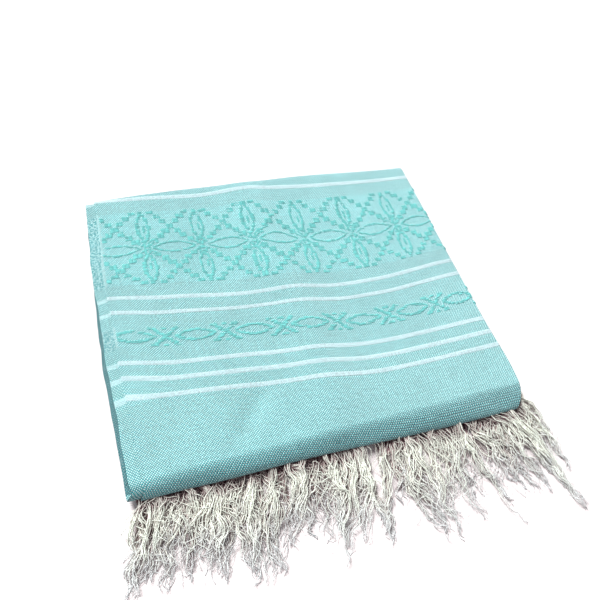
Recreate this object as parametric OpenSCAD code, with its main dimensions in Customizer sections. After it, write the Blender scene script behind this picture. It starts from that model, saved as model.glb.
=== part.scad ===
// Fringed bath towel, folded flat into a stack of four double panels.
//
// The cloth is folded once selvedge to selvedge, with the closed side at +X,
// and then rolled up end over end. Followed from its first cut end, it makes
// the bottom panel, goes up round the outer back fold to the top panel, down
// round the front fold to the lower middle panel, and up round the inner back
// fold to the upper middle panel. The first fringe lies out in front, under
// the front fold. The second fringe is tucked in behind the front fold and
// turned back. Everything above the bottom panel opens over the back fold
// like the cover of a book.
//
// Millimetres. +Z is up, -Y is the fringed front. The origin is the centre
// of the underside of the whole stack, fringe included.

/* [Cloth] */
// Width of the folded stack, from the selvedges to the closed side
fold_w = 450; // [300:1:600]
// Depth of the folded cloth from its front fold to its outer back fold
fold_d = 370; // [360:1:400]
// Thickness of one ply of the woven cloth
ply_t = 1.7; // [1.4:0.1:2]
// Height from one ply of the stack to the next
ply_pitch = 3.7; // [3.6:0.1:4]
// How far the plies with the second selvedge stand out past the first one
selvedge_step = 12; // [2:1:25]
// Distance from the front fold back to the cut end of the bottom panel
bottom_hem_back = 14; // [12:1:20]
// Distance from the front fold back to the cut end of the upper middle panel
tucked_hem_back = 17; // [16:1:18]

/* [Woven pattern] */
// Distance from the front fold back to the middle of the wide brocade band
border_y = 280; // [278:1:282]
// Width of one white stripe
stripe_w = 5.5; // [3:0.5:8]
// Height of the wide brocade band
wide_band_w = 114; // [80:1:120]
// Height of the narrow brocade band
narrow_band_w = 28; // [16:1:28]
// Depth that the pattern yarns take up in the cloth's outer face
yarn_depth = 0.4; // [0.2:0.1:0.6]

/* [Fringe] */
// Reach of the longest tufts in front of the front fold
fringe_reach = 122; // [60:1:160]
// Number of tufts along each cut end
tuft_count = 24; // [12:1:36]
// Gap between one tuft and the next
tuft_gap = 2; // [1:0.5:3.5]
// How far the outermost tufts lean past the cloth's sides
tuft_lean = 12; // [0:1:20]
// Thickness of the tucked fringe between the two panels that hold it
tucked_t = 1.4; // [0.8:0.1:1.5]

/* [Hidden] */
$fn = 48;

ground_colour = [0.62, 0.85, 0.86];
stripe_colour = [0.88, 0.96, 0.98];
brocade_colour = [0.44, 0.82, 0.82];
fringe_colour = [0.9, 0.89, 0.83];

// Heights. Plies are counted from 0 at the bottom to 7 at the top.
pair_h = ply_pitch + ply_t;
stack_h = 7 * ply_pitch + ply_t;
function ply_bottom(i) = i * ply_pitch;
function ply_middle(i) = ply_bottom(i) + ply_t / 2;

// Panels, in their order along the cloth.
BOTTOM = 1;
TOP = 2;
LOWER_MIDDLE = 3;
UPPER_MIDDLE = 4;
function panel_ply(n) = [0, 0, 6, 2, 4][n];
// The ply that ends in the first selvedge is set back. It is the upper ply of
// the top and upper middle panels, and the lower ply of the other two.
function set_back_on_top(n) = n == TOP || n == UPPER_MIDDLE;

// Fold radii to the middle of the inner ply; the outer ply is one pitch more.
outer_back_r = 2.5 * ply_pitch;
inner_back_r = 0.5 * ply_pitch;
front_r = 1.5 * ply_pitch;

// Along Y, measured back from the front fold; placed() moves these to the origin.
front_axis_y = front_r + ply_pitch + ply_t / 2;
back_axis_y = fold_d - stack_h / 2;
origin_y = (fold_d - fringe_reach) / 2;

// Across X.
left_x = -fold_w / 2;
bend_x = fold_w / 2 - pair_h / 2;

// The pattern, as distances along the cloth from the middle of the wide band.
stripe_at = [-201.5, -183, -164.5, -98.5, -77.5, 77.5, 98.5, 164.5, 183, 201.5];
narrow_at = [-131.5, 131.5];
fold_stripe_at = [stripe_at[3], stripe_at[4]];

// Distances along the cloth from a cut end, on the outer ply of each fold.
bottom_run = back_axis_y - bottom_hem_back;
tucked_run = back_axis_y - tucked_hem_back;
outer_back_arc = PI * (outer_back_r + ply_pitch);
inner_back_arc = PI * (inner_back_r + ply_pitch);
// From either cut end to the middle of its border.
border_s = bottom_run + outer_back_arc + back_axis_y - border_y;

// Where a distance s from the nearer cut end lies on panel n, back from the
// front fold. The border is as far from both cut ends, and the plain middle
// of the cloth lies between the two borders.
function panel_y(n, s) =
    n == BOTTOM ? bottom_hem_back + s
    : n == TOP ? back_axis_y - (s - bottom_run - outer_back_arc)
    : n == LOWER_MIDDLE ? back_axis_y - (s - tucked_run - inner_back_arc)
    : tucked_hem_back + s;

function panel_start(n) =
    n == BOTTOM ? bottom_hem_back
    : n == UPPER_MIDDLE ? tucked_hem_back
    : front_axis_y;

// The parts of the pattern that lie on panel n, each as where it starts and
// ends along Y. What runs on over a fold is cut off at the panel's end, and
// what has less than half its width on the panel is left out.
function on_panel(n, distances, width) =
    [for (a = distances)
        let (y = panel_y(n, border_s + a),
             from = max(y - width / 2, panel_start(n)),
             to = min(y + width / 2, back_axis_y))
        if (to - from > width / 2) [from, to]];
function stripe_spans(n) = on_panel(n, stripe_at, stripe_w);
function narrow_spans(n) = on_panel(n, narrow_at, narrow_band_w);
function wide_spans(n) = on_panel(n, [0], wide_band_w);

// Moves a shape drawn from the front fold and the table to the origin.
module placed() {
    translate([0, -origin_y, 0]) children();
}

// The doubled cloth seen from the front: two plies joined by the side bend.
module pair_profile(step_on_top) {
    low_x = left_x + (step_on_top ? 0 : selvedge_step);
    top_x = left_x + (step_on_top ? selvedge_step : 0);
    translate([low_x, 0])
        square([bend_x - low_x, ply_t]);
    translate([top_x, ply_pitch])
        square([bend_x - top_x, ply_t]);
    side_bend(pair_h / 2, pair_h / 2 - ply_t);
}

// The right half of a ring, round the middle of the side bend.
module side_bend(outer_r, inner_r) {
    translate([bend_x, pair_h / 2])
        intersection() {
            difference() {
                circle(outer_r);
                circle(inner_r);
            }
            translate([0, -outer_r])
                square([outer_r, 2 * outer_r]);
        }
}

// The outer skin of the doubled cloth, as deep as the pattern yarns.
// The margin lets the same shape cut a groove that is open on the outside.
module skin_profile(step_on_top, margin = 0) {
    low_x = left_x + (step_on_top ? 0 : selvedge_step) - margin;
    top_x = left_x + (step_on_top ? selvedge_step : 0) - margin;
    translate([low_x, -margin])
        square([bend_x - low_x, yarn_depth + margin]);
    translate([top_x, pair_h - yarn_depth])
        square([bend_x - top_x, yarn_depth + margin]);
    side_bend(pair_h / 2 + margin, pair_h / 2 - yarn_depth);
}

// Extrudes a profile along Y from y_from to y_to.
module along_y(y_from, y_to) {
    translate([0, y_to, 0])
        rotate([90, 0, 0])
            linear_extrude(y_to - y_from)
                children();
}

// Strips of pattern yarn across the cloth of panel n, one for each span of Y.
module yarn_strips(n, spans, margin = 0) {
    for (span = spans) {
        along_y(span[0], span[1])
            skin_profile(set_back_on_top(n), margin);
    }
}

// One double panel of ground cloth, with grooves where the pattern yarns lie.
module panel(n) {
    groove_margin = 1;
    color(ground_colour)
        placed()
            translate([0, 0, ply_bottom(panel_ply(n))])
                difference() {
                    along_y(panel_start(n), back_axis_y)
                        pair_profile(set_back_on_top(n));
                    yarn_strips(n, stripe_spans(n), groove_margin);
                    yarn_strips(n, narrow_spans(n), groove_margin);
                    yarn_strips(n, wide_spans(n), groove_margin);
                }
}

// The white stripes of panel n, lying in its grooves.
module stripes(n) {
    color(stripe_colour)
        placed()
            translate([0, 0, ply_bottom(panel_ply(n))])
                yarn_strips(n, stripe_spans(n));
}

// The floating brocade yarns of panel n, lying in its grooves.
module brocade(n, spans) {
    color(brocade_colour)
        placed()
            translate([0, 0, ply_bottom(panel_ply(n))])
                yarn_strips(n, spans);
}

// Turns a profile round an axis along X, bulging towards +Y, from one angle
// to another counted from straight down. The profile starts base_r out.
module wrap(base_r, from_deg = 0, to_deg = 180) {
    rotate([0, 90, 0])
        rotate([0, 0, from_deg])
            rotate_extrude(angle = to_deg - from_deg)
                translate([base_r, 0])
                    mirror([1, -1, 0])
                        children();
}

// The two stripes that run over the outer back fold. The fold ends where the
// top panel begins, so the second of them is cut off there.
module fold_stripe_parts(margin = 0) {
    width_deg = 180 * stripe_w / outer_back_arc;
    for (a = fold_stripe_at) {
        middle_deg = 180 * (border_s + a - bottom_run) / outer_back_arc;
        wrap(outer_back_r - ply_t / 2, middle_deg - width_deg / 2,
             min(180, middle_deg + width_deg / 2))
            skin_profile(true, margin);
    }
}

// How far each of three neighbouring tufts reaches, as a share of the longest.
tuft_reach = [1, 0.94, 0.97];
// Where a tuft's belly lies, as a share of its length from the root.
tuft_belly = 0.55;
// Width of a tuft's tip as a share of its width at the root.
tuft_taper = 0.84;
// Depth of the header, where the warp ends are still close together.
header = 4;

// A fringe seen from above: tapered tufts on a narrow header. It grows
// towards -Y from root_y, and its longest tufts end at tip_y.
module comb_plan(root_y, tip_y, lean) {
    pitch = fold_w / tuft_count;
    translate([left_x, root_y - header])
        square([fold_w, header]);
    for (i = [0 : tuft_count - 1]) {
        side = (2 * i + 1) / tuft_count - 1;
        tuft_plan(left_x + (i + 0.5) * pitch, pitch - tuft_gap,
                  lean * side * abs(side), root_y,
                  root_y + (tip_y - root_y) * tuft_reach[i % 3]);
    }
}

// One tuft: it keeps its width to its belly and tapers a little to its tip.
module tuft_plan(x, width, lean, root_y, tip_y) {
    belly_y = root_y + (tip_y - root_y) * tuft_belly;
    half_w = width / 2;
    tip_w = half_w * tuft_taper;
    polygon([
        [x - half_w, root_y],
        [x - half_w + lean * 0.5, belly_y],
        [x - tip_w + lean, tip_y],
        [x + tip_w + lean, tip_y],
        [x + half_w + lean * 0.5, belly_y],
        [x + half_w, root_y]
    ]);
}

// Extrudes a side view, a list of [y, z] points, across the whole width.
module across_x(side_view) {
    translate([-fold_w, 0, 0])
        rotate([90, 0, 90])
            linear_extrude(2 * fold_w)
                polygon(side_view);
}

module bottom_panel() { panel(BOTTOM); }
module top_panel() { panel(TOP); }
module lower_middle_panel() { panel(LOWER_MIDDLE); }
module upper_middle_panel() { panel(UPPER_MIDDLE); }

// Joins the bottom and top panels round the back of everything else.
module outer_back_fold() {
    groove_margin = 1;
    color(ground_colour)
        placed()
            translate([0, back_axis_y, stack_h / 2])
                difference() {
                    wrap(outer_back_r - ply_t / 2)
                        pair_profile(true);
                    fold_stripe_parts(groove_margin);
                }
}

// Joins the two middle panels, inside the outer back fold.
module inner_back_fold() {
    color(ground_colour)
        placed()
            translate([0, back_axis_y, ply_middle(3.5)])
                wrap(inner_back_r - ply_t / 2)
                    pair_profile(true);
}

// Joins the top and lower middle panels: the rounded front edge.
module front_fold() {
    color(ground_colour)
        placed()
            translate([0, front_axis_y, ply_middle(4.5)])
                mirror([0, 1, 0])
                    wrap(front_r - ply_t / 2)
                        pair_profile(true);
}

module bottom_stripes() { stripes(BOTTOM); }
module top_stripes() { stripes(TOP); }
module lower_middle_stripes() { stripes(LOWER_MIDDLE); }
module upper_middle_stripes() { stripes(UPPER_MIDDLE); }

module back_fold_stripes() {
    color(stripe_colour)
        placed()
            translate([0, back_axis_y, stack_h / 2])
                fold_stripe_parts();
}

module bottom_narrow_brocade() {
    brocade(BOTTOM, narrow_spans(BOTTOM));
}

module top_narrow_brocade() {
    brocade(TOP, narrow_spans(TOP));
}

module lower_middle_narrow_brocade() {
    brocade(LOWER_MIDDLE, narrow_spans(LOWER_MIDDLE));
}

module upper_middle_narrow_brocade() {
    brocade(UPPER_MIDDLE, narrow_spans(UPPER_MIDDLE));
}

module top_wide_brocade() {
    brocade(TOP, wide_spans(TOP));
}

module lower_middle_wide_brocade() {
    brocade(LOWER_MIDDLE, wide_spans(LOWER_MIDDLE));
}

// The fringe of the bottom panel lies flat on the surface, under the front
// fold and out in front of it.
module front_fringe() {
    lying_t = 5;
    tip_t = 3;
    color(fringe_colour)
        placed()
            intersection() {
                linear_extrude(stack_h)
                    comb_plan(bottom_hem_back, -fringe_reach, tuft_lean);
                across_x([
                    [bottom_hem_back, 0],
                    [bottom_hem_back, pair_h],
                    [0, lying_t],
                    [-fringe_reach, tip_t],
                    [-fringe_reach, 0]
                ]);
            }
}

// The fringe of the upper middle panel turns up behind the front fold and
// lies back on its own panel.
module tucked_fringe() {
    turn = 3;
    turned_length = 100;
    gap = (ply_pitch - ply_t - tucked_t) / 2;
    low_z = ply_bottom(4);
    high_z = ply_bottom(6) - gap;
    color(fringe_colour)
        placed()
            intersection() {
                mirror([0, 1, 0])
                    linear_extrude(stack_h)
                        comb_plan(turn - tucked_hem_back,
                                  -(tucked_hem_back + turned_length), 0);
                across_x([
                    [tucked_hem_back, low_z],
                    [tucked_hem_back - turn, low_z],
                    [tucked_hem_back - turn, high_z],
                    [tucked_hem_back + turned_length, high_z],
                    [tucked_hem_back + turned_length, high_z - tucked_t],
                    [tucked_hem_back, high_z - tucked_t]
                ]);
            }
}

bottom_panel();
top_panel();
lower_middle_panel();
upper_middle_panel();
outer_back_fold();
inner_back_fold();
front_fold();
bottom_stripes();
top_stripes();
lower_middle_stripes();
upper_middle_stripes();
back_fold_stripes();
bottom_narrow_brocade();
top_narrow_brocade();
lower_middle_narrow_brocade();
upper_middle_narrow_brocade();
top_wide_brocade();
lower_middle_wide_brocade();
front_fringe();
tucked_fringe();
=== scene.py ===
"""Looks of a folded, fringed bath towel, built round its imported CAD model.

The towel is one cloth. A point on it is named by two lengths on the flat
cloth: "across", from the first selvedge round the closed side to the second,
and "along", from the first cut end to the second. cloth_point() says where
such a point lies in the folded stack, and the sheets, the stripes and the
brocade floats are all made from it. The two fringes join its cut ends.
"""
import math

import bpy
import numpy as np
from mathutils import Matrix, Vector


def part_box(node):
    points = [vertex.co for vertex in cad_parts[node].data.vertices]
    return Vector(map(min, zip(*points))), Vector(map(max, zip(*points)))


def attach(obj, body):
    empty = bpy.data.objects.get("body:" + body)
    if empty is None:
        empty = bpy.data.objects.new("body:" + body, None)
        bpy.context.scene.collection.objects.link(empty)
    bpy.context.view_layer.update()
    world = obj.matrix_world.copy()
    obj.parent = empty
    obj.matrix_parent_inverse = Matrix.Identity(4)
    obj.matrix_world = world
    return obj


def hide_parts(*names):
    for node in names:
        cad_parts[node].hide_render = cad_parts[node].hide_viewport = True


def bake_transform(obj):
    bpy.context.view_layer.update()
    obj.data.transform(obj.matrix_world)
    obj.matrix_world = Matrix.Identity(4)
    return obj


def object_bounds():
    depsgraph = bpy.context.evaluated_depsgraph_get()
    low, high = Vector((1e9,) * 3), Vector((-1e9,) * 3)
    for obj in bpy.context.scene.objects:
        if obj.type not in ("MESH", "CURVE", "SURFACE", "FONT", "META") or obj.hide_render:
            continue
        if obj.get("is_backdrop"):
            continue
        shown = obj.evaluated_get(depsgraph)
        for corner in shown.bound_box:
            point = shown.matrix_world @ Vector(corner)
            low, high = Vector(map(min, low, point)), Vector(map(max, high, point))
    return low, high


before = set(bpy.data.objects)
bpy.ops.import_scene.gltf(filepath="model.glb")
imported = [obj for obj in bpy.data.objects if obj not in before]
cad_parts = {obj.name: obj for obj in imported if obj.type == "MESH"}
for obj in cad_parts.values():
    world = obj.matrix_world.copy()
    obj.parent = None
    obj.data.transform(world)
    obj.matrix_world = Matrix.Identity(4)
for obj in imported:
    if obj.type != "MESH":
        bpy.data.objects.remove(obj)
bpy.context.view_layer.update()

MM = 0.001

# ---------------------------------------------------------------- the stack
# Read from the frame.
top_low, top_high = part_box("top_panel")
STACK_H = top_high.z
PAIR_H = top_high.z - top_low.z
PITCH = (STACK_H - PAIR_H) / 6
CAD_PLY = PAIR_H - PITCH
LEFT, RIGHT = top_low.x, top_high.x
FRONT_Y, BACK_Y = top_low.y, top_high.y
FRONT_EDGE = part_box("front_fold")[0].y
HEM_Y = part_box("bottom_panel")[0].y
TUCKED_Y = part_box("upper_middle_panel")[0].y
BAND_LOW, BAND_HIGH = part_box("top_wide_brocade")
NARROW_LOW, NARROW_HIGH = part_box("top_narrow_brocade")

# The cloth. Its thickness tapers off over the last EDGE of a selvedge or cut end.
CLOTH_T = 1.9 * MM
EDGE = 0.7 * MM
EDGE_SHARE = 0.45
SELVEDGE_STEP = 12 * MM
BEND_R = PITCH / 2
BEND_X = RIGHT - PAIR_H / 2
FIRST_X = LEFT + SELVEDGE_STEP
BEND_START = BEND_X - FIRST_X
BEND_END = BEND_START + math.pi * BEND_R
WIDTH = BEND_END + BEND_X - LEFT

# The woven pattern, as distances from the middle of the wide band.
STRIPE_W = 5.5 * MM
STRIPES_AT = [d * MM for d in (-201.5, -183, -164.5, -98.5, -77.5,
                               77.5, 98.5, 164.5, 183, 201.5)]
NARROW_AT = (BAND_LOW.y + BAND_HIGH.y - NARROW_LOW.y - NARROW_HIGH.y) / 2
WIDE_HALF = (BAND_HIGH.y - BAND_LOW.y) / 2
NARROW_HALF = (NARROW_HIGH.y - NARROW_LOW.y) / 2
YARN = 1.35 * MM
PICK = 1.45 * MM
MOTIF = 66.3 * MM
FIRST_MOTIF = 52 * MM


def ply_z(ply):
    """Height of the middle of a ply, counted from 0 at the bottom."""
    return ply * PITCH + CAD_PLY / 2


class Panel:
    """A flat stretch of the doubled cloth."""

    def __init__(self, y_from, y_to, first_ply, second_ply):
        self.y_from = y_from
        self.way = 1 if y_to > y_from else -1
        self.length = abs(y_to - y_from)
        self.middle_z = (ply_z(first_ply) + ply_z(second_ply)) / 2
        self.side = 1 if first_ply > second_ply else -1

    def place(self, ply, run):
        y = self.y_from + self.way * run
        z = self.middle_z + self.side * ply * PITCH / 2
        return y, z


class Fold:
    """A half turn of the doubled cloth, first ply outermost: up at the back, down at the front."""

    def __init__(self, axis_y, low_ply, high_ply, way):
        self.axis = axis_y, (ply_z(low_ply) + ply_z(high_ply)) / 2
        self.outer = (high_ply - low_ply) * PITCH / 2
        self.length = math.pi * self.outer
        self.way = way

    def place(self, ply, run):
        radius = self.outer - (1 - ply) * PITCH / 2
        turn = run / self.outer
        y = self.axis[0] + self.way * radius * np.sin(turn)
        z = self.axis[1] - self.way * radius * np.cos(turn)
        return y, z


STRETCHES = {
    "bottom_panel": Panel(HEM_Y, BACK_Y, 0, 1),
    "outer_back_fold": Fold(BACK_Y, 0, 7, 1),
    "top_panel": Panel(BACK_Y, FRONT_Y, 7, 6),
    "front_fold": Fold(FRONT_Y, 2, 7, -1),
    "lower_middle_panel": Panel(FRONT_Y, BACK_Y, 2, 3),
    "inner_back_fold": Fold(BACK_Y, 2, 5, 1),
    "upper_middle_panel": Panel(BACK_Y, TUCKED_Y, 5, 4),
}
STARTS = {}
LENGTH = 0
for stretch_name, stretch in STRETCHES.items():
    STARTS[stretch_name] = LENGTH
    LENGTH += stretch.length
BORDER_S = STARTS["top_panel"] + BACK_Y - (BAND_LOW.y + BAND_HIGH.y) / 2


def ends(name):
    """Where a stretch starts and ends along the cloth."""
    return STARTS[name], STARTS[name] + STRETCHES[name].length


# --------------------------------------------------- how the cloth lies
def smooth(x, low, high):
    """A soft step from 0 at low to 1 at high."""
    t = np.clip((x - low) / (high - low), 0, 1)
    return t * t * (3 - 2 * t)


def bell(x, middle, width):
    """A soft bump, 1 high, at middle."""
    return np.exp(-((x - middle) / width) ** 2)


def across_place(across):
    """The x of a point on the doubled cloth, and 1 on its first ply to -1 on its second."""
    turn = np.clip((across - BEND_START) / BEND_R, 0, math.pi)
    x = (FIRST_X + np.minimum(across, BEND_START) + BEND_R * np.sin(turn)
         - np.maximum(across - BEND_END, 0))
    # Near its selvedge the second ply lies close against the first.
    close = 0.9 * (1 - smooth(WIDTH - across, 14 * MM, 50 * MM))
    return x, np.cos(turn) + close


# The functions from here to settle() work in millimetres. "left" and "front"
# are distances from the stack's left edge and its front edge, and "share" is
# the height in the stack, from 0 at the bottom to 1 at the top.
DEPTH = (BACK_Y - FRONT_EDGE) / MM
# Each wave's height, its lengths in x and y, and its turn.
WAVES = (
    (0.30, 41, 63, 0.3), (0.22, -27, 35, 2.1), (0.16, 19, -44, 4.0), (0.10, 11, 17, 1.2),
)
# The cloth is thicker than its CAD plies, so it is raised by this off the floor.
FLOOR_GAP = 0.55


def weft_slip(left, front):
    """How far the wefts of the top panel have slipped back from a straight line."""
    # They run down towards the front from the left, and level out.
    level_from, level_soft = 305, 14
    reach = left - level_soft * np.log1p(np.exp((left - level_from) / level_soft))
    back = smooth(front, 220, 360)
    slip = (18 - 0.121 * reach) * (1 - 0.2 * back) + 3 * back
    slip += 8 * smooth(left, 335, 450) * bell(front, 195, 75)
    slip -= 9.5 * (1 - smooth(left, 125, 220)) * smooth(front, 240, 350)
    slip -= 2 * smooth(front, 130, 270)
    # Near the selvedges they level out as well, and they sag a little before the ridge.
    level = (1 - smooth(left, 5, 75)) * smooth(front, 84, 120) * (1 - smooth(front, 215, 260))
    sag = bell(left, 155, 45) * bell(front, 196, 30)
    return slip + 7 * level - 3.5 * sag


def skew(across, along):
    """How far the pattern has slipped along the cloth: the wefts lie askew in the stack."""
    x, _ = across_place(across)
    start, end = ends("top_panel")
    slip = MM * weft_slip((x - LEFT) / MM, (start + BACK_Y - along - FRONT_EDGE) / MM)
    # On the second ply they have slipped a little less, and less again at its selvedge.
    slip -= 1 * MM * smooth(across, BEND_START, BEND_END)
    slip -= 3.5 * MM * smooth(across, WIDTH - 15 * MM, WIDTH)
    # Towards both cut ends they straighten.
    fade = np.clip(along / start, 0, 1) * np.clip((LENGTH - along) / (LENGTH - end), 0, 1)
    return slip * fade


def along_of(across, pattern):
    """Where along the cloth a pattern distance lies, at a distance across."""
    along = pattern - skew(across, pattern)
    for _ in range(4):
        along = pattern - skew(across, along)
    return along


def top_relief(left, front, share):
    """How far the ridge, the hollow, the crease and the dent lift the cloth."""
    # A soft ridge runs from front to back, with a hollow beside it.
    ridge_at = 215 + 12 * np.sin(front / 90)
    ridge = 4.4 * bell(left, ridge_at, 28)
    hollow = 2.0 * bell(left, ridge_at + 56, 28)
    fade = 0.35 + 0.65 * smooth(front, -5, 90)
    fade *= 1 - 0.6 * smooth(front, 300, 365)
    # Beside the ridge the band is creased.
    crease = 2.4 * bell(left, ridge_at + 30, 13) * bell(front, 280, 55)
    # A slanting dent near the front on the left.
    to_right, to_back = left - 132, front - 46
    cosine, sine = 0.64, 0.77
    along_dent = to_right * cosine + to_back * sine
    across_dent = to_back * cosine - to_right * sine
    dent = 3.8 * bell(along_dent, 0, 40) * bell(across_dent, 0, 13)
    return share * fade * (ridge - hollow) - share ** 2 * (crease + dent)


def front_lean(left):
    """How far the roll at the front leans forward over the fringe, most at the closed side."""
    return 7.5 + 12 * smooth(left, 40, 430) + 2 * bell(left, 95, 60)


def front_roll(left, front, share):
    """The roll's shift in y and z: it leans forward, and sags as it does."""
    lean = front_lean(left)
    below = 1 - share
    lean = lean * smooth(below, 0, 0.6) * (1 - smooth(below, 0.8, 0.86))
    return -lean * (1 - smooth(front, 4, 60)), -0.16 * lean * (1 - smooth(front, 0, 22))


def ply_waves(x, y, share):
    """Every ply waves a little, each in its own way, except on the floor."""
    wave = sum(height * np.sin(x / x_length + y / y_length + turn + 9 * share)
               for height, x_length, y_length, turn in WAVES)
    return wave * np.clip(share * 6, 0, 1)


def side_shift(y, left, front, share):
    """How far the selvedges and the closed side lie out of line."""
    # The selvedges bow out, more in the middle, and the lower layers stick out in front.
    bow = 5 * np.sin(math.pi * np.clip(front / DEPTH, 0, 1))
    slip = (2.5 - 5 * smooth(1 - share, 0.16, 0.5)) * smooth(DEPTH - front, 70, 210)
    shift = (slip - bow) * (1 - smooth(left, 0, 70))
    # The closed side swells near the front, and its lower corner is rounded off.
    swelling = 3 * bell(front, 34, 36)
    corner = 15 * smooth(1 - share, 0.12, 0.75) * (1 - smooth(front, -10, 25))
    shift += (swelling - corner) * smooth(left, 405, 450)
    ripple = 0.7 * np.sin(y / 19 + 11 * share) + 0.35 * np.sin(y / 7.3 + 23 * share)
    return shift + ripple * (1 - smooth(left, 0, 40))


def settle(x, y, z):
    """Moves points of the flat stack to where the soft cloth lies. In metres."""
    share = z / STACK_H
    left, front = (x - LEFT) / MM, (y - FRONT_EDGE) / MM
    shift_x = side_shift(y / MM, left, front, share)
    shift_y, shift_z = front_roll(left, front, share)
    # The top layer reaches over the back, less towards the closed side.
    reach = 12 - 8 * smooth(left, 250, 450)
    shift_y += reach * smooth(front, 285, 372) * smooth(share, 0.60, 0.88)
    shift_z += FLOOR_GAP + top_relief(left, front, share) + ply_waves(x / MM, y / MM, share)
    # The stack is lower on the side of the selvedges, which have no bend.
    shift_z -= 0.12 * (1 - smooth(left, 0, 90)) * z / MM
    return x + shift_x * MM, y + shift_y * MM, z + shift_z * MM


def cloth_point(across, along):
    """Where the middle of the cloth is, for arrays of distances on the flat cloth."""
    across, along = np.broadcast_arrays(across, along)
    x, ply = across_place(across)
    y, z = np.zeros(x.shape), np.zeros(x.shape)
    for name, stretch in STRETCHES.items():
        start, end = ends(name)
        # The first and the last stretch run on past the cut ends.
        first, last = name == "bottom_panel", name == "upper_middle_panel"
        here = (first | (along >= start)) & (last | (along < end))
        y[here], z[here] = stretch.place(ply[here], along[here] - start)
    return np.stack(settle(x, y, z), axis=-1)


def cloth_frame(across, along):
    """The cloth's middle, its outward normal and its two directions at points of it."""
    step = 0.25 * MM
    point = cloth_point(across, along)
    d_across = unit(cloth_point(across + step, along) - cloth_point(across - step, along))
    d_along = unit(cloth_point(across, along + step) - cloth_point(across, along - step))
    normal = unit(np.cross(d_along, d_across))
    return point, normal, d_across, d_along


def unit(v):
    return v / np.maximum(np.linalg.norm(v, axis=-1, keepdims=True), 1e-12)


# ------------------------------------------------------------ mesh helpers
def new_piece(name, points, faces, material, **attributes):
    """A smooth mesh object. Each attribute holds one number or three per point."""
    mesh = bpy.data.meshes.new(name)
    mesh.from_pydata(np.asarray(points).reshape(-1, 3).tolist(), [], faces)
    mesh.polygons.foreach_set("use_smooth", np.ones(len(mesh.polygons), bool))
    for key, values in attributes.items():
        values = np.asarray(values, np.float32)
        kind, field = ("FLOAT", "value") if values.ndim == 1 else ("FLOAT_VECTOR", "vector")
        mesh.attributes.new(key, kind, "POINT").data.foreach_set(field, values.ravel())
    mesh.materials.append(material)
    mesh.update()
    piece = bpy.data.objects.new(name, mesh)
    bpy.context.scene.collection.objects.link(piece)
    return piece


def grid_quads(rows, columns, first=0):
    """Faces of a grid of points that are numbered row by row."""
    i, j = np.meshgrid(np.arange(rows - 1), np.arange(columns - 1), indexing="ij")
    a = first + i * columns + j
    return np.stack([a, a + 1, a + columns + 1, a + columns], axis=-1).reshape(-1, 4)


def tubes(middles, sideways, upwards, sides=6):
    """Closed tubes. Middles is tube x ring x 3, sideways and upwards are each ring's half-axes."""
    count, rings = middles.shape[:2]
    turn = np.arange(sides) * 2 * math.pi / sides
    points = (middles[:, :, None]
              + np.cos(turn)[:, None] * sideways[:, :, None]
              + np.sin(turn)[:, None] * upwards[:, :, None])
    ring = np.arange(rings - 1)[:, None] * sides
    k = np.arange(sides)
    after = (k + 1) % sides
    corners = [ring + k, ring + after, ring + after + sides, ring + k + sides]
    one_tube = np.stack(corners, axis=-1).reshape(-1, 4)
    starts = np.arange(count)[:, None, None] * rings * sides
    quads = (starts + one_tube).reshape(-1, 4).tolist()
    caps = starts[:, :, 0] + np.array([k[::-1], (rings - 1) * sides + k]).reshape(1, -1)
    return points.reshape(-1, 3), quads + caps.reshape(-1, sides).tolist()


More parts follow.
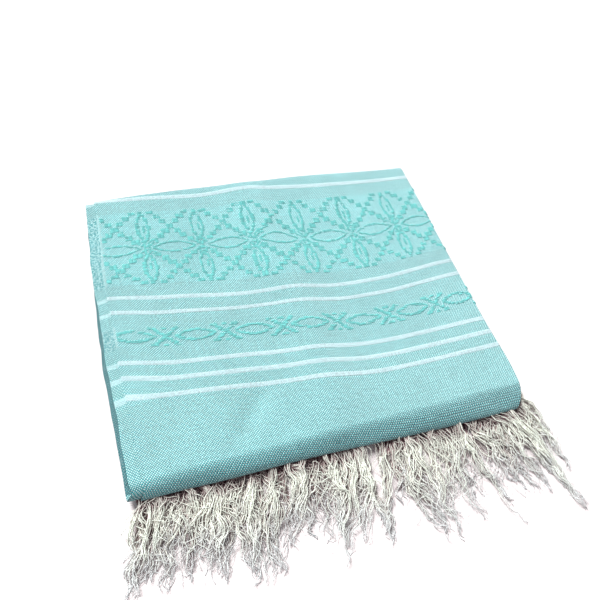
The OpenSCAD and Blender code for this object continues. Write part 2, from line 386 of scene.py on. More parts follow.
# ---------------------------------------------------------------- materials
class Nodes:
    """Builds one material's node tree."""

    def __init__(self, name):
        self.material = bpy.data.materials.new(name)
        self.material.use_nodes = True
        self.tree = self.material.node_tree
        self.shader = self.tree.nodes["Principled BSDF"]

    def add(self, kind, **settings):
        node = self.tree.nodes.new(kind)
        for key, value in settings.items():
            setattr(node, key, value)
        return node

    def feed(self, socket, value):
        if isinstance(value, bpy.types.NodeSocket):
            self.tree.links.new(value, socket)
        else:
            socket.default_value = value

    def math(self, operation, *values):
        node = self.add("ShaderNodeMath", operation=operation)
        for socket, value in zip(node.inputs, values):
            self.feed(socket, value)
        return node.outputs[0]

    def times(self, first, second):
        return self.math("MULTIPLY", first, second)

    def plus(self, first, second):
        return self.math("ADD", first, second)

    def minus(self, first, second):
        return self.math("SUBTRACT", first, second)

    def away(self, value, middle):
        """How far a value is from a middle, on either side."""
        return self.math("ABSOLUTE", self.minus(value, middle))

    def ramp(self, value, low, high, to_low=0.0, to_high=1.0):
        node = self.add("ShaderNodeMapRange", interpolation_type="SMOOTHSTEP")
        for socket, number in zip(node.inputs, (value, low, high, to_low, to_high)):
            self.feed(socket, number)
        return node.outputs[0]

    def mix(self, share, first, second, blend="MIX"):
        node = self.add("ShaderNodeMix", data_type="RGBA", blend_type=blend)
        self.feed(node.inputs["Factor"], share)
        for socket, colour in ((node.inputs[6], first), (node.inputs[7], second)):
            self.feed(socket, (*colour, 1) if isinstance(colour, tuple) else colour)
        return node.outputs[2]

    def attribute(self, name):
        return self.add("ShaderNodeAttribute", attribute_name=name)

    def number(self, name):
        return self.attribute(name).outputs["Fac"]

    def parts(self, name):
        """The three numbers of an attribute."""
        split = self.add("ShaderNodeSeparateXYZ")
        self.feed(split.inputs[0], self.attribute(name).outputs["Vector"])
        return split.outputs

    def vector(self, x, y, z=0.0):
        node = self.add("ShaderNodeCombineXYZ")
        for socket, value in zip(node.inputs, (x, y, z)):
            self.feed(socket, value)
        return node.outputs[0]

    def noise(self, place, scale, detail=2.0):
        node = self.add("ShaderNodeTexNoise")
        self.feed(node.inputs["Vector"], place)
        node.inputs["Scale"].default_value = scale
        node.inputs["Detail"].default_value = detail
        return node.outputs[0]

    def finish(self, colour, height, depth, roughness, sheen=0.35):
        bump = self.add("ShaderNodeBump")
        bump.inputs["Distance"].default_value = depth
        bump.inputs["Strength"].default_value = 1.0
        self.feed(bump.inputs["Height"], height)
        self.feed(self.shader.inputs["Base Color"], colour)
        self.feed(self.shader.inputs["Roughness"], roughness)
        self.feed(self.shader.inputs["Normal"], bump.outputs[0])
        self.shader.inputs["Sheen Weight"].default_value = sheen
        self.shader.inputs["Sheen Roughness"].default_value = 0.5
        self.shader.inputs["Specular IOR Level"].default_value = 0.25
        return self.material


def plain_weave(n, u, v):
    """Which yarn is on top at a place of a plain weave, and how high it is."""
    wave_u = n.math("SINE", n.times(u, math.pi))
    wave_v = n.math("SINE", n.times(v, math.pi))
    half_v = n.times(n.times(n.math("SIGN", wave_u), wave_v), 0.5)
    half_u = n.times(n.times(n.math("SIGN", wave_v), wave_u), -0.5)
    warp = n.times(n.math("ABSOLUTE", wave_u), n.plus(half_v, 0.5))
    weft = n.times(n.math("ABSOLUTE", wave_v), n.plus(half_u, 0.5))
    warp_on_top = n.ramp(n.minus(warp, weft), -0.08, 0.08)
    return warp_on_top, n.math("MAXIMUM", warp, weft)


WARP_WHITE = (0.64, 0.98, 0.98)
WEFT_TURQUOISE = (0.015, 0.38, 0.43)
BAND_TURQUOISE = (0.04, 0.62, 0.68)
STRIPE_WARP = (0.76, 0.95, 0.99)
STRIPE_WEFT = (0.53, 0.84, 0.91)
BROCADE_TURQUOISE = (0.21, 0.70, 0.69)
# Painted shade: the colour of the shaded holes between the yarns and of the shaded selvedges of the
# lower layers.
PAINTED_SHADOW = (0.02, 0.12, 0.15)
FRINGE_CREAM = (0.85, 0.93, 0.835)
FRINGE_TIP = (0.79, 0.86, 0.88)
# Painted shade: a warm tint where the fringe's pile lets little light in.
FRINGE_SHADOW_TINT = (0.80, 0.60, 0.57)
# Painted shadow: dark maroon deep in the pile and under the roll.
FRINGE_DEEP_SHADOW = (0.19, 0.065, 0.09)
# The width of the cloth, counted in yarns.
YARNS_ACROSS = WIDTH / YARN


def woven_material(name, warp_colour, weft_colour, patterned=False, painted_selvedge_shade=False):
    """Plain weave of two yarns with slubs, painted shade in the holes between the yarns, and soft
    patches.
    """
    n = Nodes(name)
    u, v, _ = n.parts("flat")
    wobble = n.noise(n.vector(n.times(u, 0.12), n.times(v, 0.12)), 1.0)
    wobble = n.times(n.minus(wobble, 0.5), 0.9)
    warp_on_top, height = plain_weave(n, n.plus(u, wobble), n.plus(v, wobble))
    pick_slub = n.noise(n.vector(n.times(u, 0.06), v), 0.9, 1.0)
    end_slub = n.noise(n.vector(u, n.times(v, 0.06)), 0.9, 1.0)
    patches = n.noise(n.vector(u, v), 0.022, 3.0)
    specks = n.noise(n.vector(u, v), 0.6, 2.0)
    if patterned:
        weft_colour, warp_colour = pattern_colours(n, u, specks, weft_colour, warp_colour)
    colour = n.mix(warp_on_top, weft_colour, warp_colour)
    # Painted shade: near both selvedges the lower layers, which lie in the shade of the layers
    # above, are darkened.
    if painted_selvedge_shade:
        from_middle = n.away(u, YARNS_ACROSS / 2)
        edge = n.ramp(from_middle, YARNS_ACROSS / 2 - 7, YARNS_ACROSS / 2 - 4)
        colour = n.mix(n.times(edge, 0.72), colour, PAINTED_SHADOW)
    shade = 0.38
    for noise, weight in ((pick_slub, 0.40), (end_slub, 0.30), (patches, 0.25), (specks, 0.30)):
        shade = n.plus(shade, n.times(noise, weight))
    colour = n.mix(1.0, colour, n.vector(shade, shade, shade), "MULTIPLY")
    # Painted shade: the holes where the yarns are low are darkened, and more of them round a fold.
    closed = n.plus(height, n.times(n.minus(specks, 0.5), 0.5))
    closed = n.minus(closed, n.times(n.number("bent"), 0.24))
    colour = n.mix(n.ramp(closed, 0.08, 0.44), PAINTED_SHADOW, colour)
    lumps = n.plus(height, n.times(pick_slub, 0.5))
    return n.finish(colour, lumps, 0.9 * MM, 0.86)


def pattern_colours(n, u, specks, weft_colour, warp_colour):
    """White stripes that show on both faces, a paler band, and fuzzy selvedges beside the bands."""
    border = n.number("border")
    striped = 0.0
    for middle in STRIPES_AT:
        one_stripe = n.ramp(n.away(border, middle), 0.56 * STRIPE_W, 0.44 * STRIPE_W)
        striped = n.math("MAXIMUM", striped, one_stripe)
    in_wide = n.ramp(n.away(border, 0.0), WIDE_HALF * 1.02, WIDE_HALF * 0.98)
    in_narrow = n.ramp(n.away(border, NARROW_AT), NARROW_HALF * 1.05, NARROW_HALF * 0.9)
    in_band = n.math("MAXIMUM", in_wide, in_narrow)
    # The first selvedge is a ragged white line, the second a wider strip of specks.
    first_edge = n.ramp(n.plus(u, n.times(n.minus(specks, 0.5), 6.0)), 2.8, 1.0)
    second_edge = n.ramp(u, YARNS_ACROSS - 14, YARNS_ACROSS - 11)
    fuzz = n.times(second_edge, n.ramp(specks, 0.40, 0.60))
    fuzzy = n.times(n.math("MAXIMUM", first_edge, fuzz), in_band)
    speckled = n.times(n.times(second_edge, n.ramp(specks, 0.55, 0.42)), in_band)
    weft = n.mix(n.times(in_wide, 0.5), weft_colour, BAND_TURQUOISE)
    weft = n.mix(n.times(fuzzy, 0.45), weft, STRIPE_WARP)
    weft = n.mix(striped, weft, STRIPE_WEFT)
    warp = n.mix(n.times(speckled, 0.75), warp_colour, WEFT_TURQUOISE)
    return weft, warp


def yarn_material(name, colour, fringe=False):
    """Spun cotton: its strands wind round the yarn, and every yarn has its own shade."""
    variation = 0.3
    n = Nodes(name)
    along, around, own_shade = n.parts("yarn")
    twist = n.math("SINE", n.plus(n.times(along, 2 * math.pi), n.times(around, 4 * math.pi)))
    fuzz = n.noise(n.vector(n.times(along, 1.3), n.times(around, 5.0), own_shade), 1.7)
    grey = n.plus(1 - variation / 2, n.times(n.minus(own_shade, 0.5), variation))
    grey = n.plus(grey, n.times(fuzz, variation / 2))
    # Painted shade and highlight on the twist: lighter on the strands, darker between them.
    grey = n.plus(grey, n.times(twist, 0.06))
    if fringe:
        colour = fringe_colours(n, colour)
    tinted = n.mix(1.0, colour, n.vector(grey, grey, grey), "MULTIPLY")
    height = n.plus(n.times(twist, 0.5), fuzz)
    return n.finish(tinted, height, 0.12 * MM, 0.9, 0.2)


def fringe_colours(n, colour):
    """Cooler tips, and painted shade where little light gets in: a warm tint in the pile, and dark
    maroon deep in it and under the roll.
    """
    colour = n.mix(n.ramp(n.number("run"), 0.5, 1.0), colour, FRINGE_TIP)
    # Painted shade: a warm tint where ambient occlusion is low, in the pile.
    sky = n.add("ShaderNodeAmbientOcclusion", samples=4)
    sky.inputs["Distance"].default_value = 25 * MM
    in_shade = n.ramp(sky.outputs["AO"], 0.56, 0.16)
    colour = n.mix(n.times(in_shade, 0.45), colour, FRINGE_SHADOW_TINT)
    # Painted shadow: dark maroon where the yarns are covered and lie deep in the pile or under the
    # roll.
    covered = n.ramp(sky.outputs["AO"], 0.88, 0.38)
    return n.mix(n.times(covered, n.number("depth")), colour, FRINGE_DEEP_SHADOW)


# ------------------------------------------------------------------- sheets
def across_samples(first_step, second_step):
    """Distances across the cloth: close together at both selvedges and round the bend."""
    first = np.arange(EDGE, BEND_START - first_step / 2, first_step)
    bend = np.linspace(BEND_START, BEND_END, 9)
    second = WIDTH - np.arange(EDGE, WIDTH - BEND_END - second_step / 2, second_step)[::-1]
    return np.concatenate([[0], first, bend, second, [WIDTH]])


def sheet_piece(name, steps, material, hem_start=False, hem_end=False):
    """The closed sheet of one stretch of the cloth, with the steps of its mesh in millimetres."""
    first_step, second_step, along_step = (step * MM for step in steps)
    start, end = ends(name)
    across = across_samples(first_step, second_step)
    along = np.linspace(start, end, max(8, round((end - start) / along_step)) + 1)
    if hem_start:
        along = np.insert(along, 1, start + EDGE)
    if hem_end:
        along = np.insert(along, -1, end - EDGE)
    thick = np.ones((len(across), len(along)))
    thick[[0, -1]] = EDGE_SHARE
    if hem_start:
        thick[:, 0] = EDGE_SHARE
    if hem_end:
        thick[:, -1] = EDGE_SHARE
    a, s = np.meshgrid(across, along, indexing="ij")
    point, normal, _, _ = cloth_frame(a, s)
    half = normal * thick[..., None] * CLOTH_T / 2
    rows, columns = a.shape
    count = rows * columns
    outer = grid_quads(rows, columns)
    inner = grid_quads(rows, columns, count)[:, ::-1]
    index = np.arange(count).reshape(rows, columns)
    loop = np.concatenate([index[:, 0], index[-1, 1:], index[-2::-1, -1], index[0, -2:0:-1]])
    after = np.roll(loop, -1)
    wall = np.stack([loop, after, after + count, loop + count], axis=-1)
    faces = np.concatenate([outer, inner, wall])
    pattern = s + skew(a, s)
    border = border_distance(pattern).ravel()
    # Round a fold the yarns spread and more holes open between them; these holes are painted dark,
    # painted shade that darkens the folds.
    bent = np.sin(math.pi * (s - start) / (end - start)) * isinstance(STRETCHES[name], Fold)
    points = np.concatenate([(point + half).reshape(-1, 3), (point - half).reshape(-1, 3)])
    piece = new_piece(name + "_cloth", points, faces.tolist(), material,
                      flat=np.tile(flat_places(a, pattern), (2, 1)),
                      border=np.tile(border, 2), bent=np.tile(bent.ravel(), 2))
    outward = normal.reshape(-1, 3)
    piece.data.normals_split_custom_set_from_vertices(np.concatenate([outward, -outward]).tolist())
    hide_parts(name)
    return piece


def flat_places(across, pattern):
    """The flat attribute: the two distances on the flat cloth, in yarns."""
    return np.stack([across / YARN, pattern / YARN, np.zeros(across.shape)], axis=-1).reshape(-1, 3)


def border_distance(pattern):
    """Distance from the middle of the nearer wide band, positive towards the towel's middle."""
    return np.minimum(pattern, LENGTH - pattern) - BORDER_S


# --------------------------------------------------------- stripes and brocade
def stripe_places(low, high):
    """The middles of the stripes that lie between two distances along the cloth."""
    both = [BORDER_S + d for d in STRIPES_AT] + [LENGTH - BORDER_S - d for d in STRIPES_AT]
    return [s for s in both if low < s < high]


def stripes_piece(name, low, high, material):
    """Thick white wefts: low domed strips on the outer face, from selvedge to selvedge."""
    step, margin = 3 * MM, 0.4 * MM
    across = np.concatenate([np.arange(margin, BEND_START, step),
                             np.linspace(BEND_START, BEND_END, 9),
                             np.arange(BEND_END + step, WIDTH - margin, step)])
    # The profile: shares of the stripe's width, and millimetres over the cloth.
    profile = np.array([(-0.5, -0.35), (-0.5, 0.02), (-0.42, 0.2), (-0.2, 0.24), (0, 0.25),
                        (0.2, 0.24), (0.42, 0.2), (0.5, 0.02), (0.5, -0.35)])
    points, faces, flats = [], [], []
    for middle in stripe_places(low, high):
        a, k = np.meshgrid(across, np.arange(len(profile)), indexing="ij")
        pattern = middle + profile[k, 0] * STRIPE_W
        point, normal, _, _ = cloth_frame(a, along_of(a, pattern))
        lift = CLOTH_T / 2 + profile[k, 1] * MM
        first = len(points) * a.size
        points.append((point + normal * lift[..., None]).reshape(-1, 3))
        index = first + np.arange(a.size).reshape(a.shape)
        under = np.stack([index[:-1, -1], index[:-1, 0], index[1:, 0], index[1:, -1]], axis=-1)
        faces += grid_quads(*a.shape, first).tolist() + under.tolist()
        faces += [index[0, ::-1].tolist(), index[-1].tolist()]
        flats.append(flat_places(a, pattern))
    piece = new_piece(name + "_yarn", np.concatenate(points), faces, material,
                      flat=np.concatenate(flats))
    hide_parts(name)
    return piece


def near_curve(x, y, curve_x, curve_y, half_width):
    """True where a point is within half_width of a curve that is given as points."""
    near = np.zeros(x.shape, bool)
    for i in range(len(curve_x) - 1):
        ax, ay, bx, by = curve_x[i], curve_y[i], curve_x[i + 1], curve_y[i + 1]
        dx, dy = bx - ax, by - ay
        t = np.clip(((x - ax) * dx + (y - ay) * dy) / (dx * dx + dy * dy), 0, 1)
        near |= (x - ax - t * dx) ** 2 + (y - ay - t * dy) ** 2 < half_width ** 2
    return near


def leaf(x, y, low, high, half_width, line):
    """True on the outline of a leaf that stands between low and high on the y axis."""
    share = np.linspace(0, 1, 13)
    side = half_width * np.sin(math.pi * share) ** 0.85
    return near_curve(np.abs(x), y, side, low + (high - low) * share, line)


def wide_motif(x, y):
    """True where the wide band's brocade weft floats, in millimetres from a flower's middle."""
    x, y = np.abs(x), np.abs(y)
    on = np.zeros(x.shape, bool)
    for k in range(7):
        for dot_x in (11.7 + 7.2 * k, MOTIF / MM - 11.7 - 7.2 * k):
            on |= (np.abs(x - dot_x) < 4.2) & (np.abs(y - 11.7 - 7.3 * k) < 3.2)
    on |= leaf(x, y, 11, 54, 7.0, 1.9)
    on |= (x < 3.2) & (np.abs(y - 55) < 2.2)
    on |= (x < 1.0) & (np.abs(y - 31) < 5.0)
    on |= leaf(y, x, 8, MOTIF / MM - 8, 8.2, 1.1)
    on |= near_curve(x, y, [1.5, 9.0], [1.5, 9.0], 0.7)
    on |= near_curve(x, y, [1.0, 4.6], [3.0, 11.5], 0.7)
    return on


def narrow_motif(x, y):
    """True where the narrow band's brocade weft floats, in millimetres from a cross's middle."""
    x, y = np.abs(x), np.abs(y)
    on = near_curve(x, y, [0, 11.5], [0, 10.2], 2.1)
    on |= (np.abs(x - 12.5) < 3.6) & (np.abs(y - 11.0) < 2.0)
    on |= (x < 3.0) & (np.abs(y - 11.0) < 2.0)
    on |= leaf(y, x, 11.5, MOTIF / MM - 11.5, 6.4, 1.6)
    return on


def float_runs(motif, half_height):
    """The floats of one band: their middle across, distance from the band's middle, and length."""
    fine = 0.25 * MM
    margin = 1.5 * MM
    across = np.arange(margin, WIDTH - margin, fine)
    x = (across - FIRST_MOTIF + MOTIF / 2) % MOTIF - MOTIF / 2
    picks = np.arange(-math.floor(half_height / PICK), math.floor(half_height / PICK) + 1)
    longest, shortest, pair = 7.5 * MM, 1.2 * MM, 2 * YARN
    found = []
    for pick in picks:
        y = pick * PICK
        on = np.concatenate([[False], motif(x / MM, np.full(x.shape, y / MM)), [False]])
        edges = np.flatnonzero(on[1:] != on[:-1])
        for begin, finish in zip(edges[::2], edges[1::2]):
            low, high = across[begin], across[min(finish, len(across) - 1)]
            if high - low < shortest:
                continue
            # A float passes over whole pairs of warp yarns.
            low = round(low / pair)
            high = max(round(high / pair), low + 1) * pair
            low *= pair
            parts = math.ceil((high - low) / longest)
            span = (high - low) / parts
            found += [(low + (part + 0.5) * span, y, span) for part in range(parts)]
    return np.array(found)


def brocade_piece(name, band_middle, way, motif, half_height, ply, material):
    """Raised floats of the brocade weft on the outer face of one ply: short yarn arches."""
    missing, uneven, overlap, twist = 0.05, 0.3 * MM, 0.35 * MM, 1.1 * MM
    yarn_up, yarn_along = 0.50 * MM, 0.70 * MM
    runs = float_runs(motif, half_height)
    if ply == "first":
        runs = runs[runs[:, 0] < BEND_END]
    else:
        runs = runs[runs[:, 0] > BEND_END + 2 * MM]
    rng = np.random.default_rng(len(name))
    runs = runs[rng.random(len(runs)) > missing]
    place = np.linspace(-1, 1, 7)
    rise = np.array([-0.25, 0.22, 0.42, 0.48, 0.42, 0.22, -0.25]) * MM
    girth = np.array([0.55, 0.85, 1, 1, 1, 0.85, 0.55])
    jitter = rng.normal(0, uneven, (len(runs), 2))
    a = runs[:, 0, None] + jitter[:, :1] + place * (runs[:, 2, None] / 2 + overlap)
    pattern = band_middle + way * runs[:, 1, None] + jitter[:, 1:] * 0.6
    pattern = np.broadcast_to(pattern, a.shape)
    point, normal, _, d_along = cloth_frame(a, along_of(a, pattern))
    size = rng.uniform(0.85, 1.12, (len(runs), 1))
    middles = point + normal * (CLOTH_T / 2 + rise * size)[..., None]
    points, faces = tubes(middles, normal * (girth * size * yarn_up)[..., None],
                          d_along * (girth * size * yarn_along)[..., None])
    yarn = yarn_places(a / twist, rng.random(len(runs)))
    piece = new_piece(name + "_floats", points, faces, material, yarn=yarn)
    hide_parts(name)
    return piece


def yarn_places(along, shade, sides=6):
    """The yarn attribute: turns along each tube, share of the way round it, and its own shade."""
    count, rings = along.shape
    places = np.zeros((count, rings, sides, 3))
    places[..., 0] = along[:, :, None]
    places[..., 1] = np.arange(sides) / sides
    places[..., 2] = shade[:, None, None]
    return places.reshape(-1, 3)


# ------------------------------------------------------------------- fringe
# The tufts of loose warp ends, from left to right, in millimetres: where a
# tuft's root is and how wide, where its tip lies, how far it is spread there,
# how far its belly swings out to the right, and how many yarns it has.
# X is from the middle of the towel and the reach is from the front fold.
# The gap right of the middle has only a few short yarns.
TUFTS = [
    (-210, 20, -240, 91, 9, 8, 80), (-203, 18, -222, 84, 9, 4, 45),
    (-192, 18, -208, 90, 7, 5, 50), (-172, 20, -183, 90, 5, -2, 50),
    (-154, 18, -170, 95, 5, 3, 50), (-137, 18, -155, 96, 6, 6, 50),
    (-128, 14, -150, 101, 3, -3, 25), (-110, 18, -127, 114, 4, 2, 55),
    (-95, 16, -113, 113, 4, 0, 45), (-80, 16, -101, 108, 6, 4, 45),
    (-63, 16, -80, 87, 8, 5, 45), (-47, 16, -62, 88, 9, -5, 40),
    (-31, 16, -47, 94, 5, 3, 40), (-15, 17, -34, 118, 5, 7, 75),
    (0, 16, -9, 106, 6, 7, 60), (9, 8, 17, 114, 3, 3, 28),
    (34, 40, 30, 46, 24, 3, 16), (57, 8, 19, 115, 3, -6, 20),
    (64, 12, 46, 80, 8, -2, 30), (72, 18, 80, 129, 4, -15, 85),
    (88, 16, 93, 132, 5, -4, 42), (103, 16, 126, 121, 5, -4, 26),
    (118, 16, 128, 98, 11, 3, 42), (136, 18, 168, 136, 7, -3, 38),
    (156, 20, 188, 108, 16, 0, 62), (176, 18, 212, 114, 12, 0, 62),
    (194, 18, 245, 144, 5, 2, 62), (207, 14, 250, 98, 7, 6, 46),
    (216, 10, 249, 62, 10, 6, 36), (220, 6, 246, 34, 10, 6, 22),
]
HEM_DEPTH = (FRONT_EDGE - HEM_Y) / MM
# No yarn lies further out than this at either side, and they crowd together there.
SIDE_REACH = 255 * MM
SIDE_SOFT = 12 * MM
FRINGE_YARN_R = 0.46 * MM
FRINGE_TWIST = 2.2 * MM
# The lowest that the middle of a yarn lies.
LOWEST_YARN = 0.75 * MM


def spline(points, rings):
    """Smooth paths through points, which is yarn x point x 3, as rings places on each."""
    count = points.shape[1]
    before = 2 * points[:, :1] - points[:, 1:2]
    after = 2 * points[:, -1:] - points[:, -2:-1]
    padded = np.concatenate([before, points, after], axis=1)
    at = np.linspace(0, count - 1, rings)
    i = np.minimum(at.astype(int), count - 2)
    t = (at - i)[None, :, None]
    a, b, c, d = (padded[:, i + k] for k in range(4))
    return 0.5 * (2 * b + (c - a) * t + (2 * a - 5 * b + 4 * c - d) * t ** 2
                  + (3 * b - a - 3 * c + d) * t ** 3)


def tuft_yarns(rng, tuft, rings):
    """One tuft, in millimetres: its locks of yarns part in the middle and meet at the tip."""
    root_x, root_w, tip_x, tip_reach, tip_w, belly, count = tuft
    count = round((1.3 if tip_x < 60 else 1.1) * count)
    yarns_per_lock = 13
    locks = max(3, round(count / yarns_per_lock))
    lock = np.sort(rng.integers(0, locks, count))
    order = (np.arange(locks) + 0.5) / locks * 2 - 1
    height = rng.random(locks)
    ahead = rng.uniform(0.74, 1.0, locks)
    ahead[locks // 2] = 1.0
    sway = rng.uniform(0, 2 * math.pi, locks)
    # The outermost tufts and those beside the gap are calmer.
    calm = 0.4 if abs(tip_x) > 235 or 5 < root_x < 70 else 1
    sway_size = rng.uniform(2.0, 7.5, locks) * calm
    sway_rate = rng.uniform(6, 13, locks)
    parting = order * rng.uniform(2, 9, locks) + rng.normal(0, 3.5, locks)
    layer = np.clip(height[lock] + rng.normal(0, 0.22, count), 0, 1)
    reach = ahead[lock] * (1 - (0.1 + 0.26 * calm) * rng.random(count) ** 1.3)
    x0 = root_x + (order[lock] + rng.uniform(-1.2, 1.2, count) / locks) * root_w / 2
    x1 = tip_x + order[lock] * tip_w * 0.7 + rng.normal(0, 0.9, count)
    x1 = x0 + (x1 - x0) * reach
    loft = 1.2 + 9.0 * layer ** 1.1
    wind = rng.uniform(0, 2 * math.pi, count)
    # At each step along a yarn: how high it rises, and how far it strays.
    steps = (0, 0.14, 0.27, 0.40, 0.53, 0.66, 0.79, 0.90, 1)
    rise = (0, 0.55, 0.95, 1.0, 0.9, 0.72, 0.5, 0.3, 0.12)
    stray = (0.1, 0.5, 1.0, 1.1, 1.1, 1.0, 0.9, 0.6, 0.35)
    points = []
    for step, up, wide in zip(steps, rise, stray):
        turn = wind + 5 * step
        middle = math.sin(math.pi * step)
        swing = sway_size[lock] * np.sin(sway[lock] + sway_rate[lock] * step)
        x = x0 + (x1 - x0) * step ** 1.15 + belly * 1.2 * middle * reach
        x = x + wide * (swing + 1.5 * np.cos(turn)) + parting[lock] * middle ** 1.3 * calm
        y = -(HEM_DEPTH + (tip_reach - HEM_DEPTH) * reach * step)
        y = y + wide * 0.45 * sway_size[lock] * np.cos(sway[lock] + 8 * step)
        z = 0.6 + loft * up + wide * 1.2 * np.sin(turn)
        points.append(np.stack([x, y, z], axis=-1))
    points = np.stack(points, axis=1)
    points[:, 0, 1] = -HEM_DEPTH
    points[:, 0, 2] = np.where(layer > 0.5, ply_z(1), ply_z(0)) / MM
    points[..., 1] += FRONT_EDGE / MM
    return spline(points * MM, rings), layer, np.ones(count), lock


def tangled_yarns(rng, rings):
    """Loops of single yarns that wander from tuft to tuft and over the gaps between them."""
    most = 230
    tufts = np.array(TUFTS, float)
    pick = rng.integers(1, len(tufts) - 3, most)
    beside_gap = (tufts[pick, 0] > -10) & (tufts[pick, 0] < 62)
    pick = pick[~beside_gap | (rng.random(len(pick)) < 0.12)]
    share = rng.random(len(pick))[:, None]
    tuft = tufts[pick] * (1 - share) + tufts[pick + 1] * share
    count = len(tuft)
    reach = tuft[:, 3] * rng.uniform(0.5, 0.92, count)
    drift = rng.normal(0, 11, count)
    wander = rng.normal(0, 1, (count, 9, 2))
    points = []
    for k, step in enumerate(np.linspace(0, 1, 9)):
        free = math.sin(math.pi * min(step * 1.2, 0.5)) * (k > 1)
        x = tuft[:, 0] + (tuft[:, 2] - tuft[:, 0]) * step + drift * step
        x = x + 7.5 * free * wander[:, k, 0]
        y = -(HEM_DEPTH + (reach - HEM_DEPTH) * step) + 5 * free * wander[:, k, 1]
        height = 10 * math.sin(math.pi * (0.12 + step * 0.8))
        z = 1.2 + height * rng.uniform(0.3, 1.0, count)
        points.append(np.stack([x, y, z], axis=-1))
    points = np.stack(points, axis=1)
    points[..., 1] += FRONT_EDGE / MM
    layer, girth = np.full(count, 0.9), np.full(count, 0.75)
    return spline(points * MM, rings), layer, girth, np.arange(count)


def crimp(rng, lock, rings, length, amount):
    """Sideways and upward crimp of unravelled yarns: much the same for all the yarns of a lock."""
    share = np.linspace(0, 1, rings)
    count = len(lock)
    offset = np.zeros((count, rings, 2))
    per_lock, per_yarn = (lock.max() + 1, 1, 2), (count, 1, 2)
    for wavelength, size in ((36, 2.4), (19, 1.4), (11, 0.5)):
        phase = rng.uniform(0, 2 * math.pi, per_lock)[lock] + rng.normal(0, 0.4, per_yarn)
        stretch = rng.uniform(0.75, 1.35, per_lock)[lock] + rng.normal(0, 0.03, per_yarn)
        run = share[None, :, None] * (length / MM)[:, None, None]
        turn = 2 * math.pi * run / (wavelength * stretch)
        offset += np.sin(turn + phase) * size * MM
    growth = 0.45 + 0.75 * share * smooth(share, 0, 0.12)
    return offset * amount[:, None, None] * growth[None, :, None]


def path_sides(paths):
    """The sideways and the upward direction at every place of the yarns' paths."""
    travel = unit(np.gradient(paths, axis=1))
    side = unit(np.cross(travel, [0, 0, 1.0]))
    return side, np.cross(side, travel)


def pile_shadow_depth(paths, layer):
    """How deep each place of a yarn lies in the pile or under the roll, from 0 to 1: how much
    painted shadow it gets.
    """
    x, y = paths[..., 0] / MM, paths[..., 1] / MM
    layer = layer[:, None]
    out = FRONT_EDGE / MM - front_lean(x - LEFT / MM) - y
    under = (1 - smooth(out, 4, 27 - 12 * layer)) * (1 - 0.12 * layer)
    inside = (1 - layer) ** 1.3 * (1 - 0.7 * smooth(out, 25, 90))
    beside = smooth(np.abs(x), RIGHT / MM - 6, RIGHT / MM + 8)
    return np.maximum(under, 0.9 * inside) * (1 - 0.8 * beside)


def fringe_mesh(name, paths, layer, girth, lock, crimping, material, rng):
    """Tubes along the yarns' paths, with crimp, each thinner at its tip."""
    count, rings = paths.shape[:2]
    length = np.linalg.norm(np.diff(paths, axis=1), axis=2).sum(1)
    side, above = path_sides(paths)
    offset = crimp(rng, lock, rings, length, rng.uniform(0.5, 1.2, count) * crimping)
    paths = paths + side * offset[..., :1] + above * offset[..., 1:]
    paths[..., 2] = np.maximum(paths[..., 2], LOWEST_YARN)
    over = np.maximum(np.abs(paths[..., 0]) - SIDE_REACH + SIDE_SOFT, 0)
    pull = over - SIDE_SOFT * (1 - np.exp(-over / SIDE_SOFT))
    paths[..., 0] -= np.sign(paths[..., 0]) * pull
    side, above = path_sides(paths)
    share = np.linspace(0, 1, rings)
    girth = FRINGE_YARN_R * girth[:, None] * rng.uniform(0.8, 1.2, (count, 1))
    girth = girth * (1 - 0.38 * smooth(share, 0.55, 1.0))
    girth = girth * (1 + 0.12 * np.sin(share * 60 + rng.uniform(0, 6, (count, 1))))
    sides = 4
    points, faces = tubes(paths, side * girth[..., None], above * girth[..., None], sides)
    run = np.repeat(np.tile(share, count), sides)
    # The depth attribute sets the painted shadow of each place of a yarn.
    depth = np.repeat(pile_shadow_depth(paths, layer).ravel(), sides)
    yarn = yarn_places(share * length[:, None] / FRINGE_TWIST, rng.random(count), sides)
    return new_piece(name + "_yarns", points, faces, material, yarn=yarn, run=run, depth=depth)


def front_fringe(material):
    """Loose warp ends of the first cut end, lying out in front under the roll."""
    rng = np.random.default_rng(21)
    rings = 30
    groups = [tuft_yarns(rng, tuft, rings) for tuft in TUFTS] + [tangled_yarns(rng, rings)]
    paths, layer, girth = (np.concatenate([group[k] for group in groups]) for k in range(3))
    lock = np.concatenate([group[3] + 1000 * k for k, group in enumerate(groups)])
    piece = fringe_mesh("front_fringe", paths, layer, girth, lock, 1.0, material, rng)
    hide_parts("front_fringe")
    return piece


def tucked_fringe(material):
    """Warp ends of the second cut end: up behind the front fold and back over their own panel."""
    rng = np.random.default_rng(22)
    count, rings, crimping = 320, 9, 0.12
    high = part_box("tucked_fringe")[1]
    x = np.linspace(FIRST_X, BEND_X, count) + rng.normal(0, 1 * MM, count)
    reach = rng.uniform(0.85, 1.0, count)
    z_high = (high.z + ply_z(5) + CLOTH_T / 2) / 2
    # The route: how far behind the cut end, and how high.
    route = ((1 * MM, ply_z(4.6)), (-2 * MM, ply_z(4.9)), (-1 * MM, z_high - 1 * MM),
             (8 * MM, z_high), (45 * MM, z_high), (high.y - TUCKED_Y - 3 * MM, z_high))
    points = [np.stack(settle(x, TUCKED_Y + behind * reach, np.full(count, z)), axis=-1)
              for behind, z in route]
    paths = spline(np.stack(points, axis=1), rings)
    full = np.ones(count)
    piece = fringe_mesh("tucked_fringe", paths, full, full, np.arange(count), crimping,
                        material, rng)
    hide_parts("tucked_fringe")
    return piece


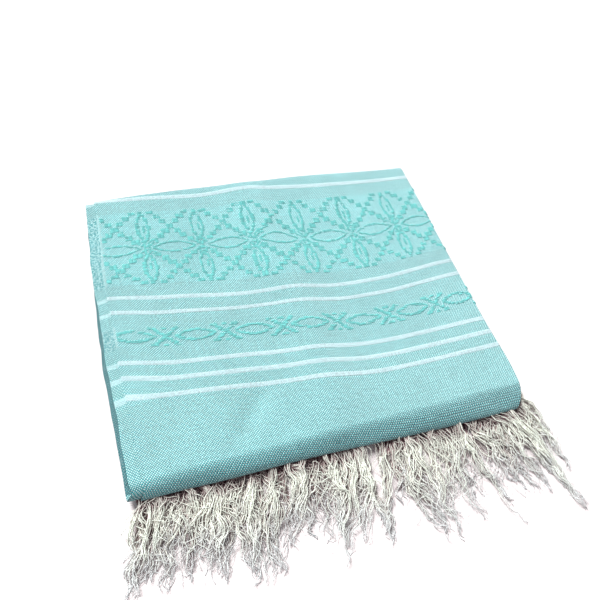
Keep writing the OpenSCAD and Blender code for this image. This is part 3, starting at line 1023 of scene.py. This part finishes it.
# -------------------------------------------------------------------- stage
def camera():
    """At the photograph's viewing angle: from above, in front and a little to the left."""
    turn, tilt, roll = 0.52908, 0.97843, 0.26647
    place = (-0.1872, -0.2757, 0.5871)
    level = math.cos(tilt)
    forward = np.array([math.sin(turn) * level, math.cos(turn) * level, -math.sin(tilt)])
    right = np.array([math.cos(turn), -math.sin(turn), 0])
    up = np.cross(right, forward)
    rolled_right = right * math.cos(roll) + up * math.sin(roll)
    rolled_up = -right * math.sin(roll) + up * math.cos(roll)
    turned = Matrix([rolled_right, rolled_up, -forward]).transposed().to_4x4()
    data = bpy.data.cameras.new("camera")
    data.lens = 33.32
    data.sensor_width = 36
    data.clip_start = 0.01
    camera_object = bpy.data.objects.new("camera", data)
    camera_object.matrix_world = Matrix.Translation(place) @ turned
    bpy.context.scene.collection.objects.link(camera_object)
    bpy.context.scene.camera = camera_object


def lamp(name, kind, place, power, colour, **settings):
    """A lamp at a place, pointing at the towel."""
    data = bpy.data.lights.new(name, kind)
    data.energy = power
    data.color = colour
    for key, value in settings.items():
        setattr(data, key, value)
    light = bpy.data.objects.new(name, data)
    light.location = place
    light.rotation_mode = "QUATERNION"
    light.rotation_quaternion = (-Vector(place)).to_track_quat("-Z", "Y")
    bpy.context.scene.collection.objects.link(light)


def studio():
    """A pale floor, a soft sun from the back, a weak rosy fill from the front and a rosy sky."""
    lamp("key_light", "SUN", (-0.55, 1.05, 1.4), 5.3, (1.0, 0.99, 0.97), angle=0.43)
    lamp("fill_light", "AREA", (-0.6, -1.2, 1.1), 2, (1.0, 0.88, 0.93), shape="DISK", size=1.6)
    world = bpy.data.worlds.new("studio")
    world.use_nodes = True
    background = world.node_tree.nodes["Background"]
    background.inputs["Color"].default_value = (1.0, 0.95, 0.97, 1)
    background.inputs["Strength"].default_value = 0.40
    bpy.context.scene.world = world
    bpy.context.scene.view_settings.view_transform = "Standard"
    n = Nodes("pale_floor")
    grain = n.noise(n.add("ShaderNodeTexCoord").outputs["Object"], 40.0)
    colour = n.mix(grain, (0.71, 0.672, 0.682), (0.74, 0.70, 0.71))
    floor_material = n.finish(colour, grain, 0.02 * MM, 0.8, 0.0)
    half = 30
    corners = [(-half, -half, 0), (half, -half, 0), (half, half, 0), (-half, half, 0)]
    new_piece("floor", corners, [(0, 1, 2, 3)], floor_material)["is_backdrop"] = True


# --------------------------------------------------------------------- make
LOWER, UPPER, BOTH = "bottom_layer", "upper_layers", "both"


def join(piece, body):
    """The piece rides on one body; one that spans both bodies at the back gets its transform baked
    in and rides on neither.
    """
    if body == BOTH:
        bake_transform(piece)
    else:
        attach(piece, body)


camera()
studio()

ground = woven_material("ground_weave", WARP_WHITE, WEFT_TURQUOISE, patterned=True)
inner_ground = woven_material("inner_ground_weave", WARP_WHITE, WEFT_TURQUOISE, patterned=True,
                              painted_selvedge_shade=True)
white = woven_material("stripe_weave", STRIPE_WARP, STRIPE_WEFT)
brocade = yarn_material("brocade_yarn", BROCADE_TURQUOISE)
cotton = yarn_material("fringe_cotton", FRINGE_CREAM, fringe=True)

# The steps of each sheet's mesh: across the first ply, across the second, and along.
for name, steps, body, material, hems in (
        ("bottom_panel", (6, 3.5, 3.5), LOWER, inner_ground, {"hem_start": True}),
        ("top_panel", (2.5, 6, 2.5), UPPER, ground, {}),
        ("lower_middle_panel", (3.5, 7, 3.5), UPPER, inner_ground, {}),
        ("upper_middle_panel", (7, 7, 7), UPPER, inner_ground, {"hem_end": True}),
        ("front_fold", (2.5, 6, 1.2), UPPER, ground, {}),
        ("inner_back_fold", (6, 6, 1.6), UPPER, ground, {}),
        ("outer_back_fold", (2.5, 5, 1.5), BOTH, ground, {}),
):
    join(sheet_piece(name, steps, material, **hems), body)

# The stripes of the back fold start and end on the panels beside it.
back_low, back_high = ends("outer_back_fold")
back_low -= 2 * MM
back_high += 5 * MM
front_low, front_high = ends("front_fold")
inner_low, inner_high = ends("inner_back_fold")
for name, low, high, body in (
        ("bottom_stripes", 0, back_low, LOWER),
        ("back_fold_stripes", back_low, back_high, BOTH),
        ("top_stripes", back_high, front_low, UPPER),
        ("lower_middle_stripes", front_high, inner_low, UPPER),
        ("upper_middle_stripes", inner_high, LENGTH, UPPER),
):
    join(stripes_piece(name, low, high, white), body)

# Each brocade band's middle, its way along the cloth, and the ply it shows on.
far = LENGTH - BORDER_S
wide = wide_motif, WIDE_HALF
narrow = narrow_motif, NARROW_HALF
for name, middle, way, (motif, half_height), ply, body in (
        ("top_wide_brocade", BORDER_S, 1, wide, "first", UPPER),
        ("top_narrow_brocade", BORDER_S + NARROW_AT, 1, narrow, "first", UPPER),
        ("lower_middle_wide_brocade", far, -1, wide, "first", UPPER),
        ("lower_middle_narrow_brocade", far - NARROW_AT, -1, narrow, "first", UPPER),
        ("upper_middle_narrow_brocade", far + NARROW_AT, -1, narrow, "first", UPPER),
        ("bottom_narrow_brocade", BORDER_S - NARROW_AT, 1, narrow, "second", LOWER),
):
    join(brocade_piece(name, middle, way, motif, half_height, ply, brocade), body)

join(front_fringe(cotton), LOWER)
join(tucked_fringe(cotton), UPPER)

low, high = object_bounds()
